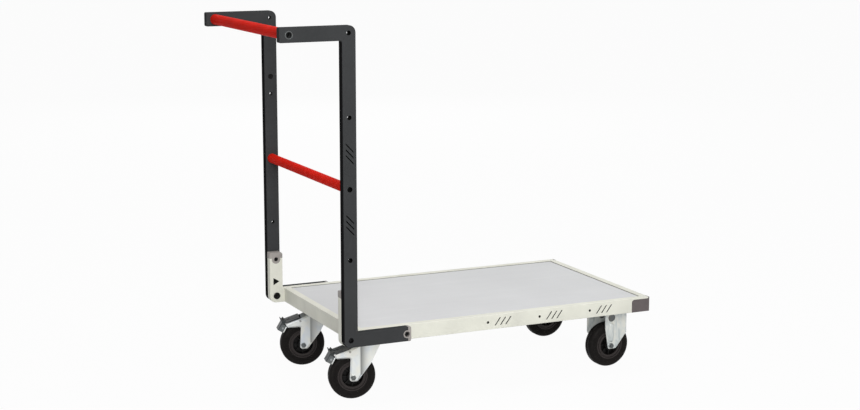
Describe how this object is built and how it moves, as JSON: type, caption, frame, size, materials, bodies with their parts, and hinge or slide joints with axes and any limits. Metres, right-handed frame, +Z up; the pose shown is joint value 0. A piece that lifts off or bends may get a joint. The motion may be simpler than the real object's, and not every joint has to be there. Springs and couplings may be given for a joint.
{
  "type": "folding platform cart",
  "caption": "Flat-bed platform cart with a framed panel deck, a fold-down handle back with grip and cross bar, braked swivel casters behind and fixed casters in front.",
  "frame": {"origin": "on the floor, under the middle of the overall box", "axes": "+X away from the handle, +Y to the left of someone who pushes the cart, +Z up"},
  "size_m": [1.086, 0.592, 0.993],
  "materials": {
    "frame_paint": "off-white powder coat",
    "panel_board": "light grey film-faced board",
    "back_paint": "anthracite powder coat",
    "bar_paint": "red powder coat",
    "cap_plastic": "warm grey moulded plastic",
    "black_steel": "black coated screws and bolts",
    "zinc": "bright zinc plated steel",
    "shoe_metal": "dull grey zinc",
    "tyre_rubber": "black solid rubber",
    "centre_plastic": "black moulded plastic",
    "bush_plastic": "dark grey bearing plastic"
  },
  "bodies": {
    "deck": {"caster_bolts": "zinc", "deck_panel": "panel_board", "front_cross_member": "frame_paint", "front_rail": "frame_paint", "left_corner_cap": "cap_plastic", "left_fixed_bracket": "zinc", "left_front_axle": "zinc", "left_kingpin": "zinc", "left_post_cap": "cap_plastic", "left_side_rail": "frame_paint", "left_swivel_balls": "zinc", "left_top_plate": "zinc", "middle_cross_member": "frame_paint", "pivot_bolts": "black_steel", "post_cap_screws": "black_steel", "rear_cross_member": "frame_paint", "rear_rail": "frame_paint", "right_corner_cap": "cap_plastic", "right_fixed_bracket": "zinc", "right_front_axle": "zinc", "right_kingpin": "zinc", "right_post_cap": "cap_plastic", "right_side_rail": "frame_paint", "right_swivel_balls": "zinc", "right_top_plate": "zinc"},
    "back": {"left_upright": "back_paint", "right_upright": "back_paint", "left_foot_cap": "cap_plastic", "right_foot_cap": "cap_plastic", "lock_screws": "black_steel", "pivot_bushes": "bush_plastic", "handle_bar": "bar_paint", "cross_bar": "bar_paint", "bar_inserts": "zinc", "bar_screws": "zinc"},
    "left_caster": {"left_fork": "zinc", "left_rear_axle": "zinc", "left_pedal_pin": "zinc"},
    "left_pedal": {"left_brake_pedal": "zinc", "left_brake_shoe": "shoe_metal"},
    "left_rear_wheel": {"left_rear_tyre": "tyre_rubber", "left_rear_wheel_centre": "centre_plastic", "left_rear_bush": "bush_plastic"},
    "left_front_wheel": {"left_front_tyre": "tyre_rubber", "left_front_wheel_centre": "centre_plastic", "left_front_bush": "bush_plastic"},
    "right_caster": {"right_fork": "zinc", "right_rear_axle": "zinc", "right_pedal_pin": "zinc"},
    "right_pedal": {"right_brake_pedal": "zinc", "right_brake_shoe": "shoe_metal"},
    "right_rear_wheel": {"right_rear_tyre": "tyre_rubber", "right_rear_wheel_centre": "centre_plastic", "right_rear_bush": "bush_plastic"},
    "right_front_wheel": {"right_front_tyre": "tyre_rubber", "right_front_wheel_centre": "centre_plastic", "right_front_bush": "bush_plastic"}
  },
  "joints": [
    {"name": "back_fold", "type": "hinge", "parent": "deck", "child": "back", "pos_m": [-0.361, 0, 0.19], "axis": [0, 1, 0], "range_deg": [0, 85]},
    {"name": "left_caster_swivel", "type": "hinge", "parent": "deck", "child": "left_caster", "pos_m": [-0.267, 0.182, 0.155], "axis": [0, 0, 1], "continuous": true},
    {"name": "right_caster_swivel", "type": "hinge", "parent": "deck", "child": "right_caster", "pos_m": [-0.267, -0.182, 0.155], "axis": [0, 0, 1], "continuous": true},
    {"name": "left_brake", "type": "hinge", "parent": "left_caster", "child": "left_pedal", "pos_m": [-0.31767, 0.1937, 0.132], "axis": [0.225, 0.9744, 0], "range_deg": [0, 12]},
    {"name": "left_rear_roll", "type": "hinge", "parent": "left_caster", "child": "left_rear_wheel", "pos_m": [-0.30987, 0.1919, 0.0625], "axis": [0.225, 0.9744, 0], "continuous": true},
    {"name": "left_front_roll", "type": "hinge", "parent": "deck", "child": "left_front_wheel", "pos_m": [0.463, 0.182, 0.0625], "axis": [0, 1, 0], "continuous": true},
    {"name": "right_brake", "type": "hinge", "parent": "right_caster", "child": "right_pedal", "pos_m": [-0.31767, -0.1703, 0.132], "axis": [0.225, 0.9744, 0], "range_deg": [0, 12]},
    {"name": "right_rear_roll", "type": "hinge", "parent": "right_caster", "child": "right_rear_wheel", "pos_m": [-0.30987, -0.1721, 0.0625], "axis": [0.225, 0.9744, 0], "continuous": true},
    {"name": "right_front_roll", "type": "hinge", "parent": "deck", "child": "right_front_wheel", "pos_m": [0.463, -0.182, 0.0625], "axis": [0, 1, 0], "continuous": true}
  ]
}
